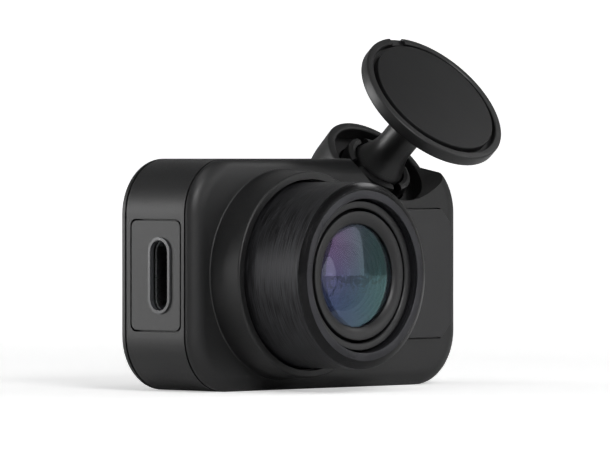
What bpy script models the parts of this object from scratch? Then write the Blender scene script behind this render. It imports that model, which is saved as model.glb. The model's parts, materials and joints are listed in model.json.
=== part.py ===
"""Dash camera with a ball-jointed windscreen mount, built from separate closed pieces.

Metres, +Z up. The lens looks along -Y. The origin is the middle of the flat underside.
A depth is measured forward from the rear face; at(depth) turns it into a Y position.
A turned piece is drawn about its own local Z, which then lies on its axis.
"""
import math

import bmesh
import bpy
from mathutils import Matrix, Vector

MM = 0.001

# Clearances
SEAM = 0.30 * MM            # gap between two shells, or between a piece and its seat
SLIDE_GAP = 0.35 * MM       # gap round a piece that travels
RUN_GAP = 0.30 * MM         # gap between the ball and its claws

# Shells
BODY_WIDTH = 52.8 * MM
BODY_HEIGHT = 31.3 * MM
CORNER_RADIUS = 7.5 * MM
WALL = 1.3 * MM
REAR_THICKNESS = 1.0 * MM   # rear cover, measured at its rim
REAR_ROUND = 0.8 * MM
REAR_LIP = 1.0 * MM         # lip that locates the rear cover inside the housing
SEAM_DEPTH = 12.4 * MM      # parting line between the housing and the front cover
FRONT_DEPTH = 13.9 * MM     # flat of the front cover
FRONT_ROUND = 2.4 * MM      # how far the front edge rounds inwards
FRONT_WALL = 1.1 * MM
REAR_Y = SEAM_DEPTH / 2 + 0.4 * MM

# Trim plate on the front cover
TRIM_LOW = 6.5 * MM
TRIM_HIGH = 24.3 * MM
TRIM_PROUD = 0.5 * MM
TRIM_SEAT = 0.35 * MM       # how deep its pocket is
TRIM_END = 24.3 * MM
TRIM_CORNER = (2.0 * MM, 2.1 * MM)
TRIM_SETBACK = 0.9 * MM     # from the lens boss

# Lens
LENS_X = -9.1 * MM
LENS_Z = BODY_HEIGHT / 2
BARREL_RADIUS = 12.5 * MM
BOSS_WALL = 1.4 * MM        # boss's outside beyond the barrel, at its front
BOSS_DRAFT = 0.25 * MM      # how much wider the boss is at its base
BOSS_RADIUS = BARREL_RADIUS + BOSS_WALL
BOSS_BASE_RADIUS = BOSS_RADIUS + BOSS_DRAFT
BOSS_DEPTH = 19.0 * MM
BOSS_CHAMFER = 0.25 * MM
BARREL_GAP = 0.4 * MM
BARREL_STEP = 1.2 * MM       # depth of the wider mouth round the barrel
BARREL_REAR = 14.8 * MM
RIM_DEPTH = 29.1 * MM       # frontmost face of the camera
RIM_SLOPE = 1.07 * MM       # chamfer's width across the axis
RIM_WIDTH = 1.13 * MM
RIM_RADIUS = BARREL_RADIUS - RIM_SLOPE
RIM_CHAMFER = 0.62 * MM     # chamfer's length along the axis
RIM_BORE = RIM_RADIUS - RIM_WIDTH
BARREL_WALL = 1.3 * MM
BARREL_BORE = BARREL_RADIUS - BARREL_WALL
RECESS = 1.0 * MM           # rim face to the lens retainer's face
RETAINER_THICKNESS = 1.4 * MM
RETAINER_WIDTH = 0.95 * MM
CELL_GAP = 0.38 * MM        # black ring between the retainer and the lens cell
CELL_LENGTH = 4.6 * MM
CELL_FLOOR = 0.8 * MM
SEAL_HALF = 0.9 * MM        # half the seal's width
SEAL_THICKNESS = 0.8 * MM
GLASS_MARGIN = 3.45 * MM    # rim's bore to the glass
GLASS_RADIUS = RIM_BORE - GLASS_MARGIN
GLASS_CROWN = 0.75 * MM
GLASS_THICKNESS = 1.3 * MM
TUBE_MARGIN = 1.05 * MM     # glass edge to the tube's outside
TUBE_RADIUS = GLASS_RADIUS - TUBE_MARGIN
TUBE_WALL = 1.2 * MM
TUBE_REAR = 13.2 * MM
SECOND_LENS_RADIUS = TUBE_RADIUS - 1.6 * MM
THIRD_LENS_RADIUS = TUBE_RADIUS - 2.6 * MM

# Mount socket, ball and plate
SOCKET_X = 15.6 * MM
SOCKET_DEPTH = 8.7 * MM     # middle of the socket's mouth
SOCKET_DROP = 0.8 * MM      # middle of the mouth below the body's top
SOCKET_Z = BODY_HEIGHT - SOCKET_DROP
SOCKET_TILT = math.radians(45.5)
SOCKET_RADIUS = 8.2 * MM
SOCKET_BORE = 7.0 * MM
SOCKET_LENGTH = 7.6 * MM
SOCKET_GROOVE = 2.0 * MM    # depth of the open ring round the claws
SOCKET_REAR = 1.35 * MM     # flat back of the socket
SOCKET_FLUSH = 0.05 * MM    # socket rim behind the front cover's flat
SOCKET_FLARE = 7.0 * MM     # the mouth widens by as much as it rises, past the body's skin
FLARE_INSET = 0.04 * MM     # flared wall below the body's skin
BALL_RADIUS = 3.8 * MM
BALL_SINK = 0.9 * MM        # ball centre below the mouth
CLAW_RADIUS = 5.1 * MM      # round outside of the claws
CLAW_RISE = 1.1 * MM        # claw tips above the ball centre
CLAW_SLOT = 1.5 * MM
STEM_TILT = math.radians(48.5)
STEM_RADIUS = 2.5 * MM
STEM_FLARE = 0.9 * MM
PLATE_RADIUS = 11.1 * MM
PLATE_THICKNESS = 1.9 * MM
PLATE_DISTANCE = 12.95 * MM  # ball centre to the plate's underside
PAD_RADIUS = 9.7 * MM
PAD_THICKNESS = 0.8 * MM
PAD_PROUD = 0.15 * MM       # pad face above the plate's rim

# Power socket and its plate
PORT_DEPTH = 7.6 * MM
PORT_Z = BODY_HEIGHT / 2
PORT_LONG = 9.4 * MM        # clear opening
PORT_SHORT = 3.2 * MM
PORT_SHELL_WALL = 0.3 * MM
PORT_SHELL_LENGTH = 7.0 * MM
PORT_SHELL_SETBACK = 0.9 * MM
TONGUE_THICKNESS = 0.7 * MM
TONGUE_LONG = 6.7 * MM
PORT_RIM = 0.45 * MM
PORT_RIM_PROUD = 0.25 * MM
PORT_PLATE_HEIGHT = 15.0 * MM
PORT_PLATE_DEPTH = (2.1 * MM, 11.5 * MM)
PORT_PLATE_THICKNESS = 0.6 * MM

# Boards
BOARD_DEPTH = 4.6 * MM
BOARD_THICKNESS = 1.0 * MM
BOARD_EDGE = 2.6 * MM       # board to the housing wall at each end
BOARD_LENGTH = BODY_WIDTH - 2 * WALL - 2 * BOARD_EDGE
BOARD_HEIGHT = 17.4 * MM
BOARD_LOW = 3.5 * MM
SENSOR_BOARD_DEPTH = 10.9 * MM
SENSOR_BOARD_SIZE = 14.0 * MM
SENSOR_BOARD_THICKNESS = 0.8 * MM
SENSOR_SIZE = 6.6 * MM
SENSOR_THICKNESS = 0.7 * MM

# Memory card and its slot
CARD_LONG = 15.0 * MM
CARD_WIDE = 11.0 * MM
CARD_THICK = 1.0 * MM
CARD_Z = 12.2 * MM
CARD_PROUD = 0.25 * MM      # card edge outside the housing when it is home
CARD_DEPTH = 7.0 * MM
SLOT_WALL = 0.25 * MM
SLOT_LONG = 14.0 * MM

# Rear buttons
BUTTON_PROUD = 0.5 * MM
BUTTON_TRAVEL = 0.4 * MM
ACTION_X = -9.1 * MM
ACTION_Z = BODY_HEIGHT / 2
ACTION_RADIUS = 4.6 * MM
AUDIO_X = 4.4 * MM
AUDIO_Z = BODY_HEIGHT / 2
AUDIO_LONG = 6.0 * MM
AUDIO_WIDE = 2.6 * MM
FLANGE = 0.7 * MM
FLANGE_THICKNESS = 0.5 * MM
SWITCH_SIZE = 3.0 * MM
LED_X = 12.6 * MM
LED_RADIUS = 0.9 * MM
MIC_X = 18.4 * MM
MIC_HOLE = 0.55 * MM

# Cell, processor and loudspeaker
CELL_BOX = (16.0 * MM, 3.6 * MM, 11.4 * MM)
CELL_X = 15.4 * MM
CELL_Z = 11.8 * MM
CELL_DEPTH = 8.5 * MM
PROCESSOR_BOX = (9.0 * MM, 0.9 * MM, 9.0 * MM)
SHIELD_BOX = (13.0 * MM, 1.9 * MM, 13.0 * MM)
SHIELD_WALL = 0.3 * MM
PROCESSOR_X = -8.0 * MM
SPEAKER_RADIUS = 3.6 * MM
SPEAKER_THICKNESS = 1.8 * MM
SPEAKER_X = -16.4 * MM
SPEAKER_CLEAR = 0.95 * MM   # loudspeaker above the power socket's shell
SPEAKER_Z = PORT_Z + PORT_LONG / 2 + PORT_SHELL_WALL + SPEAKER_CLEAR + SPEAKER_RADIUS

# Screws
SCREW_SHANK = 0.6 * MM
SCREW_HEAD = 1.4 * MM
SCREW_HEAD_THICKNESS = 0.7 * MM
SCREW_INSET = 4.2 * MM
STANDOFF_RADIUS = 1.3 * MM
SCREW_LENGTH = 9.0 * MM

ROUND = 36
FINE_ROUND = 48
SMALL_ROUND = 20
OVERSHOOT = 2.0 * MM


def at(depth):
    """Y position of a plane, from its depth in front of the rear face."""
    return REAR_Y - depth


# ---------------------------------------------------------------- finishes

FINISHES = {
    "shell_plastic": ("#1b1c1e", 0.55, 0.0),
    "trim_plastic": ("#212225", 0.45, 0.0),
    "spun_aluminium": ("#26272a", 0.38, 0.9),
    "black_aluminium": ("#0d0d0f", 0.35, 0.8),
    "coated_glass": ("#26364a", 0.05, 0.0),
    "mount_plastic": ("#191a1c", 0.5, 0.0),
    "adhesive": ("#141415", 0.7, 0.0),
    "steel": ("#9a9da0", 0.3, 1.0),
    "socket_black": ("#0c0c0d", 0.6, 0.0),
    "board": ("#1d4a2f", 0.6, 0.0),
    "foil": ("#a9adb0", 0.35, 0.9),
    "chip": ("#16161a", 0.5, 0.0),
    "rubber": ("#151515", 0.8, 0.0),
    "light_pipe": ("#d8dadc", 0.2, 0.0),
    "flex": ("#a8672a", 0.5, 0.0),
}


def linear(value):
    return value / 12.92 if value <= 0.04045 else ((value + 0.055) / 1.055) ** 2.4


def finish(name):
    """The named finish as a material, made once."""
    material = bpy.data.materials.get(name)
    if material is None:
        colour, roughness, metallic = FINISHES[name]
        channels = [linear(int(colour[i:i + 2], 16) / 255) for i in (1, 3, 5)]
        material = bpy.data.materials.new(name)
        material.use_nodes = True
        shader = material.node_tree.nodes["Principled BSDF"]
        shader.inputs["Base Color"].default_value = (*channels, 1.0)
        shader.inputs["Roughness"].default_value = roughness
        shader.inputs["Metallic"].default_value = metallic
    return material


# ---------------------------------------------------------------- shapes

def solid(name, rings, finish_name=None, closed_section=False):
    """A closed body through rings of points; a ring of one point closes that end."""
    mesh = bpy.data.meshes.new(name)
    body = bmesh.new()
    loops = [[body.verts.new(point) for point in ring] for ring in rings]
    pairs = list(zip(loops, loops[1:]))
    if closed_section:
        pairs.append((loops[-1], loops[0]))
    for first, second in pairs:
        count = max(len(first), len(second))
        for i in range(count):
            j = (i + 1) % count
            corners = []
            for loop, index in ((first, i), (first, j), (second, j), (second, i)):
                corner = loop[index % len(loop)]
                if corner not in corners:
                    corners.append(corner)
            if len(corners) > 2:
                body.faces.new(corners)
    if not closed_section:
        for loop in (loops[0], loops[-1]):
            if len(loop) > 2:
                body.faces.new(loop)
    bmesh.ops.recalc_face_normals(body, faces=body.faces)
    body.to_mesh(mesh)
    body.free()
    mesh.shade_smooth()
    mesh.set_sharp_from_angle(angle=math.radians(35))
    piece = bpy.data.objects.new(name, mesh)
    bpy.context.scene.collection.objects.link(piece)
    if finish_name:
        mesh.materials.append(finish(finish_name))
    return piece


def circle(radius, height, segments):
    """A ring of points about local Z; no radius gives the one point on the axis."""
    if radius < 1e-7:
        return [Vector((0, 0, height))]
    angles = [2 * math.pi * i / segments for i in range(segments)]
    return [Vector((radius * math.cos(a), radius * math.sin(a), height)) for a in angles]


def turned(name, profile, axis, finish_name=None, segments=ROUND):
    """A turned body from (radius, height) points; its section closes if it misses the axis."""
    rings = [circle(radius, height, segments) for radius, height in profile]
    hollow = all(radius > 1e-7 for radius, _ in profile)
    piece = solid(name, rings, finish_name, closed_section=hollow)
    piece.parent = axis
    return piece


def arc(centre, radius, start, end, steps):
    """Points on an arc, angles in degrees."""
    angles = [math.radians(start + (end - start) * i / steps) for i in range(steps + 1)]
    return [(centre[0] + radius * math.cos(a), centre[1] + radius * math.sin(a)) for a in angles]


def rounded_outline(width, height, radius, steps=6):
    """A rounded rectangle about the origin, as (u, v) points."""
    radius = min(radius, width / 2 - 1e-6, height / 2 - 1e-6)
    across, up = width / 2 - radius, height / 2 - radius
    corners = (((across, up), 0), ((-across, up), 90), ((-across, -up), 180), ((across, -up), 270))
    return [p for centre, start in corners for p in arc(centre, radius, start, start + 90, steps)]


def body_ring(depth, inset=0.0):
    """The body's outline at a depth, moved inwards."""
    outline = rounded_outline(
        BODY_WIDTH - 2 * inset, BODY_HEIGHT - 2 * inset, max(CORNER_RADIUS - inset, 0.5 * MM))
    return [Vector((u, at(depth), BODY_HEIGHT / 2 + v)) for u, v in outline]


def slab(name, outline, centre, thickness, finish_name=None, facing="Y"):
    """An outline in the plane across an axis, pushed through a thickness about its centre."""
    rings = []
    for side in (-thickness / 2, thickness / 2):
        if facing == "Y":
            rings.append([Vector(centre) + Vector((u, side, v)) for u, v in outline])
        else:
            rings.append([Vector(centre) + Vector((side, u, v)) for u, v in outline])
    return solid(name, rings, finish_name)


def block(name, size, centre, finish_name=None):
    """A plain box."""
    outline = [(-size[0] / 2, -size[2] / 2), (size[0] / 2, -size[2] / 2),
               (size[0] / 2, size[2] / 2), (-size[0] / 2, size[2] / 2)]
    return slab(name, outline, centre, size[1], finish_name)


def axis_frame(name, location, tilt):
    """An empty whose local Z leans forward from straight up by the tilt."""
    frame = bpy.data.objects.new(name, None)
    bpy.context.scene.collection.objects.link(frame)
    frame.location = location
    frame.rotation_euler = (tilt, 0, 0)
    return frame


def combine(piece, operation, other):
    """A Boolean with another body, which is then only a guide."""
    step = piece.modifiers.new(f"{operation.lower()}_{other.name}", "BOOLEAN")
    step.operation = operation
    step.solver = "EXACT"
    step.object = other
    other.hide_render = True
    other.display_type = "WIRE"


def cut(piece, *cutters):
    for cutter in cutters:
        combine(piece, "DIFFERENCE", cutter)


# ---------------------------------------------------------------- shells

def cavity(name, near, far):
    """The space inside the shells, between two depths."""
    return solid(name, [body_ring(near, WALL), body_ring(far, WALL)])


def screw_places():
    across = BODY_WIDTH / 2 - SCREW_INSET
    up = BODY_HEIGHT / 2 - SCREW_INSET
    places = [(-across, -up), (across, -up), (-across, up)]
    return [(x, BODY_HEIGHT / 2 + z) for x, z in places]


def bar_along_y(name, radius, x, z, near, far, finish_name=None, segments=SMALL_ROUND):
    """A round bar that runs forward between two depths."""
    outline = [(radius * math.cos(2 * math.pi * i / segments),
                radius * math.sin(2 * math.pi * i / segments)) for i in range(segments)]
    middle = (x, at((near + far) / 2), z)
    return slab(name, outline, middle, far - near, finish_name)


def rear_cover():
    clear = WALL + SEAM
    rings = [body_ring(0, REAR_ROUND)]
    for step in range(1, 4):
        angle = math.radians(90 * step / 3)
        inset = REAR_ROUND * (1 - math.sin(angle))
        rings.append(body_ring(REAR_ROUND * (1 - math.cos(angle)), inset))
    rings += [body_ring(REAR_THICKNESS), body_ring(REAR_THICKNESS, clear)]
    rings += [body_ring(REAR_THICKNESS + REAR_LIP, clear)]
    rings += [body_ring(REAR_THICKNESS + REAR_LIP, clear + 1.0 * MM)]
    rings += [body_ring(REAR_THICKNESS, clear + 1.0 * MM)]
    cover = solid("rear_cover", rings, "shell_plastic")
    through = (-OVERSHOOT, REAR_THICKNESS + OVERSHOOT)
    action = bar_along_y("action_hole", ACTION_RADIUS + SLIDE_GAP, ACTION_X, ACTION_Z, *through,
                         segments=ROUND)
    audio = slab("audio_hole", audio_outline(SLIDE_GAP), (AUDIO_X, at(0), AUDIO_Z), 4 * OVERSHOOT)
    led = bar_along_y("led_hole", LED_RADIUS + SEAM, LED_X, AUDIO_Z, *through)
    mic = bar_along_y("mic_hole", MIC_HOLE, MIC_X, AUDIO_Z, *through, segments=12)
    relief_high = BODY_HEIGHT - REAR_ROUND
    relief_low = SOCKET_Z - SOCKET_RADIUS
    relief = block("socket_relief", (2 * (SOCKET_RADIUS + SEAM), 2 * REAR_LIP, relief_high - relief_low),
                   (SOCKET_X, at(SOCKET_REAR - SEAM + REAR_LIP), (relief_high + relief_low) / 2))
    cut(cover, action, audio, led, mic, relief)
    for number, (x, z) in enumerate(screw_places(), 1):
        axis = axis_frame(f"rear_hole_axis_{number}", (x, at(0), z), math.radians(90))
        hole = turned(f"rear_screw_hole_{number}", [
            (0, -OVERSHOOT), (SCREW_HEAD + SEAM, -OVERSHOOT), (SCREW_HEAD + SEAM, SCREW_HEAD_THICKNESS),
            (SCREW_SHANK + SEAM, SCREW_HEAD_THICKNESS), (SCREW_SHANK + SEAM, 2 * OVERSHOOT),
            (0, 2 * OVERSHOOT)], axis, segments=SMALL_ROUND)
        cut(cover, hole)


def port_outline(grow=0.0):
    """The power opening as (depth direction, height) points."""
    return rounded_outline(PORT_SHORT + 2 * grow, PORT_LONG + 2 * grow, PORT_SHORT / 2 + grow)


def port_plate_outline(grow=0.0):
    """The plate round the power opening, square to the end of the body."""
    near, far = PORT_PLATE_DEPTH
    return rounded_outline(far - near + 2 * grow, PORT_PLATE_HEIGHT + 2 * grow, 0.9 * MM, 3)


def port_plate_centre():
    return at(sum(PORT_PLATE_DEPTH) / 2)


def card_outline(grow):
    return rounded_outline(CARD_THICK + 2 * grow, CARD_WIDE + 2 * grow, 0.3 * MM, 2)


def mid_housing(socket_axis):
    rear = REAR_THICKNESS + SEAM
    housing = solid("mid_housing", [body_ring(rear), body_ring(SEAM_DEPTH - SEAM)], "shell_plastic")
    end = BODY_WIDTH / 2
    pocket = slab("port_pocket", port_plate_outline(SEAM / 2),
                  (-end, port_plate_centre(), PORT_Z), 2 * (PORT_PLATE_THICKNESS + SEAM / 2),
                  facing="X")
    opening = slab("port_opening", port_outline(PORT_SHELL_WALL + SEAM),
                   (-end, at(PORT_DEPTH), PORT_Z), 4 * OVERSHOOT, facing="X")
    card = slab("card_opening", card_outline(SLIDE_GAP), (end, at(CARD_DEPTH), CARD_Z),
                4 * OVERSHOOT, facing="X")
    clear = SOCKET_RADIUS + SEAM
    sweep = turned("socket_clearance", [
        (0, -2 * SOCKET_LENGTH), (clear, -2 * SOCKET_LENGTH), (clear, 0),
        (clear + SOCKET_FLARE, SOCKET_FLARE), (0, SOCKET_FLARE)], socket_axis)
    cut(housing, cavity("housing_cavity", 0, FRONT_DEPTH), pocket, opening, card, sweep)


def front_cover(lens_axis, socket_axis):
    """A cup with an eased front edge, the lens boss and the ball socket."""
    inner_front = FRONT_DEPTH - FRONT_WALL
    rings = [body_ring(inner_front, WALL), body_ring(SEAM_DEPTH, WALL), body_ring(SEAM_DEPTH)]
    steps = 4
    for step in range(1, steps + 1):
        angle = math.radians(90 * step / steps)
        inset = FRONT_ROUND * (1 - math.cos(angle))
        depth = SEAM_DEPTH + (FRONT_DEPTH - SEAM_DEPTH) * math.sin(angle)
        rings.append(body_ring(depth, inset))
    cover = solid("front_cover", rings, "shell_plastic")
    corner = solid("socket_corner", [body_ring(SOCKET_REAR - OVERSHOOT, FLARE_INSET)] + [
        body_ring(SEAM_DEPTH + (FRONT_DEPTH - SEAM_DEPTH) * math.sin(a),
                  FLARE_INSET + FRONT_ROUND * (1 - math.cos(a)))
        for a in (math.radians(90 * step / steps) for step in range(steps + 1))])
    root = FRONT_DEPTH - FRONT_WALL - 0.2 * MM
    step_depth = BOSS_DEPTH - BARREL_STEP
    bore = BARREL_RADIUS + SEAM
    mouth = BARREL_RADIUS + BARREL_GAP
    boss = turned("boss_guide", [
        (bore, root), (BOSS_BASE_RADIUS, root),
        (BOSS_BASE_RADIUS, FRONT_DEPTH), (BOSS_RADIUS, BOSS_DEPTH - BOSS_CHAMFER),
        (BOSS_RADIUS - BOSS_CHAMFER, BOSS_DEPTH), (mouth, BOSS_DEPTH),
        (mouth, step_depth), (bore, step_depth)], lens_axis, segments=FINE_ROUND)
    boss_hole = bar_along_y("boss_hole", (bore + BOSS_BASE_RADIUS) / 2, LENS_X, LENS_Z,
                            SEAM_DEPTH - OVERSHOOT, BOSS_DEPTH, segments=ROUND)
    bowl = CLAW_RADIUS + SEAM
    bowl_edge = math.degrees(math.asin((SOCKET_GROOVE - BALL_SINK) / bowl))
    bowl_section = arc((0, -BALL_SINK), bowl, -bowl_edge, -90, 5)
    bowl_section[-1] = (0, -BALL_SINK - bowl)
    socket = turned("socket_guide", [
        (0, -SOCKET_LENGTH), (SOCKET_RADIUS, -SOCKET_LENGTH), (SOCKET_RADIUS, 0),
        (SOCKET_RADIUS + SOCKET_FLARE, SOCKET_FLARE), (SOCKET_BORE + SOCKET_FLARE, SOCKET_FLARE),
        (SOCKET_BORE, 0), (SOCKET_BORE, -SOCKET_GROOVE)] + bowl_section, socket_axis, segments=FINE_ROUND)
    keep_front = FRONT_DEPTH - SOCKET_FLUSH
    keep = block("socket_keep", (4 * SOCKET_RADIUS, keep_front - SOCKET_REAR, 4 * SOCKET_RADIUS),
                 (SOCKET_X, at((keep_front + SOCKET_REAR) / 2), SOCKET_Z))
    half = 2 * SOCKET_RADIUS
    below = solid("socket_below_mouth", [
        [Vector((u, v, height)) for u, v in ((-half, -half), (half, -half), (half, half), (-half, half))]
        for height in (-SOCKET_LENGTH - OVERSHOOT, 0)])
    below.parent = socket_axis
    combine(below, "UNION", corner)
    combine(socket, "INTERSECT", keep)
    combine(socket, "INTERSECT", below)
    hole_radius = (SOCKET_RADIUS + SOCKET_BORE) / 2
    low = -SOCKET_LENGTH - OVERSHOOT
    socket_hole = turned("socket_hole", [
        (0, low), (hole_radius, low), (hole_radius, 0), (hole_radius + SOCKET_FLARE, SOCKET_FLARE),
        (0, SOCKET_FLARE)], socket_axis)
    pocket = trim_body("trim_pocket", SEAM, FRONT_DEPTH - TRIM_SEAT - SEAM, FRONT_DEPTH + OVERSHOOT)
    cut(cover, boss_hole, socket_hole)
    combine(cover, "UNION", boss)
    combine(cover, "UNION", socket)
    cut(cover, pocket)


def trim_outline(grow=0.0):
    """The trim plate seen from the front: an arc round the boss, and clipped outer corners."""
    clear = BOSS_BASE_RADIUS + TRIM_SETBACK - grow
    low, high = TRIM_LOW - grow, TRIM_HIGH + grow
    end = TRIM_END + grow
    start = math.degrees(math.asin((high - LENS_Z) / clear))
    finish_angle = math.degrees(math.asin((low - LENS_Z) / clear))
    points = arc((LENS_X, LENS_Z), clear, finish_angle, start, 10)[::-1]
    across, up = TRIM_CORNER
    return points + [(end - across, low), (end, low + up), (end, high - up), (end - across, high)]


def trim_body(name, grow, near, far, finish_name=None):
    rings = [[Vector((u, at(depth), v)) for u, v in trim_outline(grow)] for depth in (near, far)]
    return solid(name, rings, finish_name)


# ---------------------------------------------------------------- lens

def lens_group(lens_axis):
    retainer_front = RIM_DEPTH - RECESS
    turned("lens_barrel", [
        (BARREL_RADIUS, BARREL_REAR), (BARREL_RADIUS, RIM_DEPTH - RIM_CHAMFER),
        (RIM_RADIUS, RIM_DEPTH), (RIM_BORE, RIM_DEPTH),
        (RIM_BORE, retainer_front - RETAINER_THICKNESS - 0.6 * MM),
        (BARREL_BORE, retainer_front - RETAINER_THICKNESS - 0.6 * MM), (BARREL_BORE, BARREL_REAR)],
        lens_axis, "spun_aluminium", FINE_ROUND)
    retainer_outer = RIM_BORE - SEAM
    retainer_inner = retainer_outer - RETAINER_WIDTH
    turned("lens_retainer", [
        (retainer_outer, retainer_front - RETAINER_THICKNESS), (retainer_outer, retainer_front),
        (retainer_inner, retainer_front - 0.1 * MM), (retainer_inner, retainer_front - RETAINER_THICKNESS)],
        lens_axis, "trim_plastic")
    cell_outer = retainer_inner - CELL_GAP
    cell_rear = retainer_front - CELL_LENGTH
    seat = retainer_front - GLASS_THICKNESS - 0.5 * MM
    turned("lens_cell", [
        (cell_outer, cell_rear), (cell_outer, retainer_front - 0.1 * MM),
        (GLASS_RADIUS + SEAM + 0.2 * MM, retainer_front - 0.1 * MM),
        (GLASS_RADIUS + SEAM, retainer_front - 0.3 * MM), (GLASS_RADIUS + SEAM, seat),
        (GLASS_RADIUS - 0.8 * MM, seat), (GLASS_RADIUS - 0.8 * MM, cell_rear + CELL_FLOOR),
        (SECOND_LENS_RADIUS + SEAM, cell_rear + CELL_FLOOR), (SECOND_LENS_RADIUS + SEAM, cell_rear)],
        lens_axis, "trim_plastic")
    turned("cell_seal", [
        (cell_outer - SEAL_HALF, cell_rear - SEAM - SEAL_THICKNESS),
        (cell_outer + SEAL_HALF, cell_rear - SEAM - SEAL_THICKNESS),
        (cell_outer + SEAL_HALF, cell_rear - SEAM), (cell_outer - SEAL_HALF, cell_rear - SEAM)],
        lens_axis, "rubber")
    front_lens(lens_axis, seat + SEAM)
    tube_front = cell_rear - SEAM
    lens_tube(lens_axis, tube_front)
    tube_holder(lens_axis, tube_front)


def dome(radius, edge, crown, steps=4):
    """A shallow dome's section from its rim to the axis."""
    points = []
    for step in range(steps + 1):
        share = 1 - step / steps
        points.append((radius * share, edge + crown * (1 - share * share)))
    return points


def lens_element(name, lens_axis, radius, rear, edge, crown, rear_crown=0.0, segments=ROUND):
    """A lens: a flat or hollowed back, a straight rim and a domed front."""
    back = [(r, rear + rear_crown * (1 - (r / radius) ** 2)) for r in
            (0, radius * 0.4, radius * 0.75)] if rear_crown else [(0, rear)]
    profile = back + [(radius, rear)] + dome(radius, edge, crown)
    return turned(name, profile, lens_axis, "coated_glass", segments)


def front_lens(lens_axis, rear):
    lens_element("front_lens", lens_axis, GLASS_RADIUS, rear, rear + GLASS_THICKNESS * 0.7,
                 GLASS_CROWN, GLASS_CROWN * 0.6)


def lens_tube(lens_axis, tube_front):
    bore = TUBE_RADIUS - TUBE_WALL
    step = tube_front - 5.2 * MM
    turned("lens_tube", [
        (TUBE_RADIUS, TUBE_REAR), (TUBE_RADIUS, tube_front), (bore, tube_front), (bore, step),
        (THIRD_LENS_RADIUS + SEAM, step), (THIRD_LENS_RADIUS + SEAM, TUBE_REAR)],
        lens_axis, "black_aluminium", 36)
    lens_element("second_lens", lens_axis, SECOND_LENS_RADIUS, tube_front - 2.0 * MM,
                 tube_front - 0.9 * MM, 0.9 * MM, segments=36)
    lens_element("third_lens", lens_axis, THIRD_LENS_RADIUS, TUBE_REAR + 3.4 * MM,
                 TUBE_REAR + 4.2 * MM, 0.6 * MM, segments=SMALL_ROUND)
    turned("infrared_filter", [(0, TUBE_REAR + 0.6 * MM), (THIRD_LENS_RADIUS, TUBE_REAR + 0.6 * MM),
                               (THIRD_LENS_RADIUS, TUBE_REAR + 1.0 * MM), (0, TUBE_REAR + 1.0 * MM)],
           lens_axis, "coated_glass", SMALL_ROUND)


def tube_holder(lens_axis, tube_front):
    """The holder that carries the lens tube inside the barrel."""
    middle = (TUBE_REAR + tube_front) / 2
    turned("tube_holder", [
        (TUBE_RADIUS + SEAM, BARREL_REAR + 0.4 * MM), (BARREL_BORE - SEAM, BARREL_REAR + 0.4 * MM),
        (BARREL_BORE - SEAM, middle), (BARREL_BORE - SEAM - 1.0 * MM, middle),
        (BARREL_BORE - SEAM - 1.0 * MM, BARREL_REAR + 1.6 * MM),
        (TUBE_RADIUS + SEAM, BARREL_REAR + 1.6 * MM)], lens_axis, "socket_black", 36)


# ---------------------------------------------------------------- mount

def claw_ring(socket_axis):
    """The snap socket: a round shell about the ball, split into four claws."""
    centre = -BALL_SINK
    seat = BALL_RADIUS + RUN_GAP
    tip_angle = math.degrees(math.asin(CLAW_RISE / seat))
    section = arc((0, centre), seat, -90, tip_angle, 7)
    section = [(max(r, 0.0), z) for r, z in section]
    section[0] = (0.0, centre - seat)
    tip = section[-1]
    outside = arc((0, centre), CLAW_RADIUS, tip_angle - 4, -90, 7)
    outside[-1] = (0, centre - CLAW_RADIUS)
    profile = section + [(tip[0] + 0.5 * MM, tip[1] + 0.2 * MM)] + outside
    ring = turned("claw_ring", profile, socket_axis, "socket_black", 32)
    long = 3 * CLAW_RADIUS
    for number, size in enumerate(((long, CLAW_SLOT), (CLAW_SLOT, long)), 1):
        low = centre - BALL_RADIUS * 0.75
        high = centre + 2 * BALL_RADIUS
        outline = [(-size[0] / 2, -size[1] / 2), (size[0] / 2, -size[1] / 2),
                   (size[0] / 2, size[1] / 2), (-size[0] / 2, size[1] / 2)]
        slot = solid(f"claw_slot_{number}", [[Vector((u, v, height)) for u, v in outline]
                                             for height in (low, high)])
        slot.parent = socket_axis
        cut(ring, slot)


def mount_group(stem_axis):
    turned("mount_ball", arc_profile(BALL_RADIUS, 10), stem_axis, "mount_plastic", 24)
    seat = BALL_RADIUS + RUN_GAP
    edge = math.degrees(math.acos(STEM_RADIUS / seat))
    foot = arc((0, 0), seat, 90, edge, 4)
    foot[0] = (0.0, seat)
    top = PLATE_DISTANCE - SEAM
    flare = [(STEM_RADIUS + STEM_FLARE * (1 - math.cos(a)), top - 0.4 * MM - STEM_FLARE * (1 - math.sin(a)))
             for a in (0, math.radians(30), math.radians(60), math.radians(90))]
    turned("mount_stem", foot + flare + [(STEM_RADIUS + STEM_FLARE, top), (0, top)], stem_axis,
           "mount_plastic", 24)
    seat_height = PLATE_DISTANCE + PLATE_THICKNESS - PAD_THICKNESS + PAD_PROUD
    top = PLATE_DISTANCE + PLATE_THICKNESS
    turned("mount_plate", [
        (0, PLATE_DISTANCE), (PLATE_RADIUS - 0.5 * MM, PLATE_DISTANCE),
        (PLATE_RADIUS, PLATE_DISTANCE + 0.4 * MM), (PLATE_RADIUS, top - 0.25 * MM),
        (PLATE_RADIUS - 0.25 * MM, top), (PAD_RADIUS + SEAM, top),
        (PAD_RADIUS + SEAM, seat_height - SEAM), (0, seat_height - SEAM)], stem_axis,
        "mount_plastic", FINE_ROUND)
    turned("adhesive_pad", [(0, seat_height), (PAD_RADIUS, seat_height),
                            (PAD_RADIUS, seat_height + PAD_THICKNESS), (0, seat_height + PAD_THICKNESS)],
           stem_axis, "adhesive", FINE_ROUND)


def arc_profile(radius, steps):
    """Half a circle from pole to pole, as a turned section."""
    points = arc((0, 0), radius, -90, 90, steps)
    points[0], points[-1] = (0.0, -radius), (0.0, radius)
    return points


# ---------------------------------------------------------------- power socket

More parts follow.
